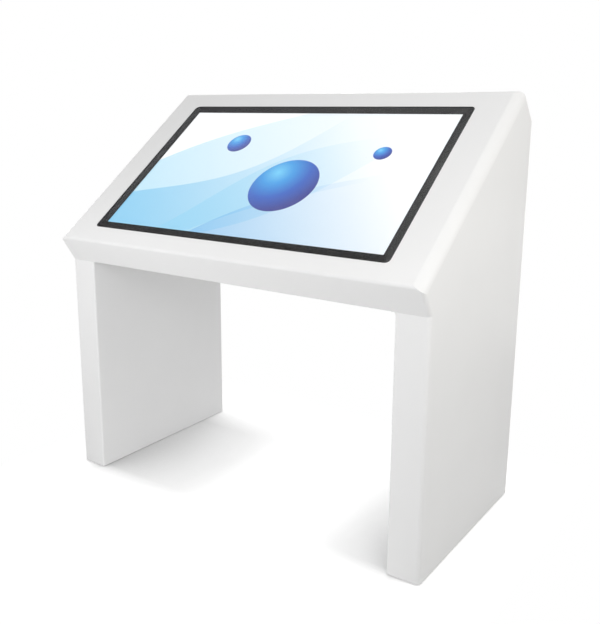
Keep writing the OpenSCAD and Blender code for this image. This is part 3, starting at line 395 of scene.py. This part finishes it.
def make_sheet(name, corners, material):
    """A flat object with one face and one material."""
    mesh = bpy.data.meshes.new(name)
    mesh.from_pydata(corners, [], [range(len(corners))])
    mesh.materials.append(material)
    sheet = bpy.data.objects.new(name, mesh)
    scene.collection.objects.link(sheet)
    return sheet


SQUARE = ((0, 0), (1, 0), (1, 1), (0, 1))
picture = make_sheet("screen_picture",
    [on_slope((u - 0.5) * PICTURE_W, (v - 0.5) * PICTURE_H, -PICTURE_DEPTH) for u, v in SQUARE],
    picture_material())
for corner, uv in zip(picture.data.uv_layers.new(name="UVMap").data, SQUARE):
    corner.uv = uv
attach(picture, "body")


# ---- Floor, world and lamps ----

FLOOR_HALF = 30
FLOOR_PAINT, FAR_BOUNCE, LIT_GLOW = 0.87, 0.55, 0.34
AMBIENT = 0.555
# Stretches of the floor in metres: they fade out to each side over (full, gone), and run from front
# to rear over (gone, full, full, gone)
LIT = ((0.61, 0.8), (-1.0, -0.6, 0.34, 0.6))
BOUNCING = ((0.5, 0.6), (-0.8, -0.45, 0.3, 0.5))
SHADED = ((0.53, 0.6), (-0.32, -0.25, 0.2, 0.36))
# The contact shade: its tone by how open the floor is, then its reach in metres and its strength,
# each at the left leg, at the right leg, and as the share of that which is left at the rear
SHADE_TONES = ((0.55, 0.51), (0.94, 0.84), (1, 1))
SHADE_REACH, SHADE_STRENGTH = (0.46, 0.27, 0.87), (1, 0.88, 0.8)
LEFT_TO_RIGHT, FRONT_TO_REAR = (-0.2, 0.3), (-0.2, 0.15)


def floor_material():
    """White to every ray that shows it, with the legs' contact shade, and a weak bounce far out."""
    n = material_nodes("floor")
    x, y, _ = n.axes(n.add("ShaderNodeTexCoord").outputs["Object"])
    sideways = n.math("ABSOLUTE", x)
    shown = n.shown()

    def stretch(across, along):
        front_gone, front_full, rear_full, rear_gone = along
        from_front = n.span(y, 0, 1, front_gone, front_full)
        to_rear = n.span(y, 1, 0, rear_full, rear_gone)
        return n.product(n.span(sideways, 1, 0, *across), from_front, to_rear)

    def falling(left, right, rear_share):
        """Left to right between the legs, and down to a share of that at the rear."""
        share = n.span(y, 1, rear_share, *FRONT_TO_REAR)
        return n.math("MULTIPLY", n.span(x, left, right, *LEFT_TO_RIGHT), share)

    lit = stretch(*LIT)
    closed_in = n.add("ShaderNodeAmbientOcclusion", samples=16)
    n.put(closed_in.inputs["Distance"], falling(*SHADE_REACH))
    shaded = n.math("MULTIPLY", stretch(*SHADED), falling(*SHADE_STRENGTH))
    contact = n.blend(shaded, n.ramp(closed_in.outputs["AO"], *SHADE_TONES), 1.0)
    bounce = n.span(stretch(*BOUNCING), FAR_BOUNCE, FLOOR_PAINT, 0, 1)

    paint = n.add("ShaderNodeBsdfDiffuse")
    n.put(paint.inputs["Color"], n.blend(shown, n.math("MULTIPLY", contact, FLOOR_PAINT), bounce))
    painted = n.add("ShaderNodeMixShader")
    n.put(painted.inputs[0], n.math("MULTIPLY", shown, n.math("SUBTRACT", 1.0, lit)))
    n.link(paint.outputs[0], painted.inputs[1])
    glow = n.add("ShaderNodeEmission")
    n.put(glow.inputs["Strength"], n.product(shown, contact, n.span(lit, 1, LIT_GLOW, 0, 1)))
    both = n.add("ShaderNodeAddShader")
    n.link(painted.outputs[0], both.inputs[0])
    n.link(glow.outputs[0], both.inputs[1])
    n.link(both.outputs[0], n.out.inputs[0])
    return n.owner


floor = make_sheet("floor",
    [((2 * u - 1) * FLOOR_HALF, (2 * v - 1) * FLOOR_HALF, 0) for u, v in SQUARE], floor_material())


def studio_world():
    """White to every ray that shows it, and a plain ambient light for the object."""
    n = Nodes(bpy.data.worlds.new("studio"), "ShaderNodeOutputWorld")
    sky = n.add("ShaderNodeBackground")
    sky.inputs["Color"].default_value = (1, 1, 1, 1)
    n.put(sky.inputs["Strength"], n.span(n.shown(), AMBIENT, 1.0, 0, 1))
    n.link(sky.outputs[0], n.out.inputs[0])
    return n.owner


scene.world = studio_world()

NEUTRAL, WARM = (1, 1, 1), (1, 0.98, 0.92)


def softbox(name, place, aim, size, power, colour=NEUTRAL):
    """A rectangular lamp at a place, facing the aim, all in metres, with its power in watts."""
    lamp = bpy.data.lights.new(name, "AREA")
    lamp.shape = "RECTANGLE"
    lamp.size, lamp.size_y = size
    lamp.energy = power
    lamp.color = colour
    box = bpy.data.objects.new(name, lamp)
    scene.collection.objects.link(box)
    box.location = place
    box.rotation_euler = (Vector(aim) - Vector(place)).to_track_quat("-Z", "Y").to_euler()


softbox("corner", (1.9, -1.5, 1.45), (0.55, -0.25, 0.85), (0.8, 0.8), 7)
softbox("side", (1.8, -0.1, 1.4), (0.6, 0, 0.8), (1.0, 0.6), 7.2, WARM)
softbox("front_left", (-0.7, -1.3, 1.0), (-0.5, -0.3, 0.7), (0.8, 0.4), 3.1)
softbox("front_low", (-0.1, -1.5, 0.75), (0.05, -0.3, 0.65), (1.2, 0.3), 5.4)
softbox("leg", (1.05, -0.95, 1.1), (0.56, -0.3, 0.6), (0.3, 0.3), 1.1)
softbox("knee", (0.55, 1.3, 0.5), (-0.5, 0, 0.4), (0.5, 0.6), 2.8)
softbox("top", (0.4, 0.2, 3.2), (0.1, 0, 0.8), (1.2, 1.2), 9.2)
softbox("left", (-2.2, 0.9, 0.7), (-0.6, 0.1, 0.6), (1.2, 1.0), 6)
softbox("back", (-0.9, 1.9, 2.3), (0, 0.3, 0.7), (1.0, 0.8), 12)

scene.view_settings.view_transform = "Standard"
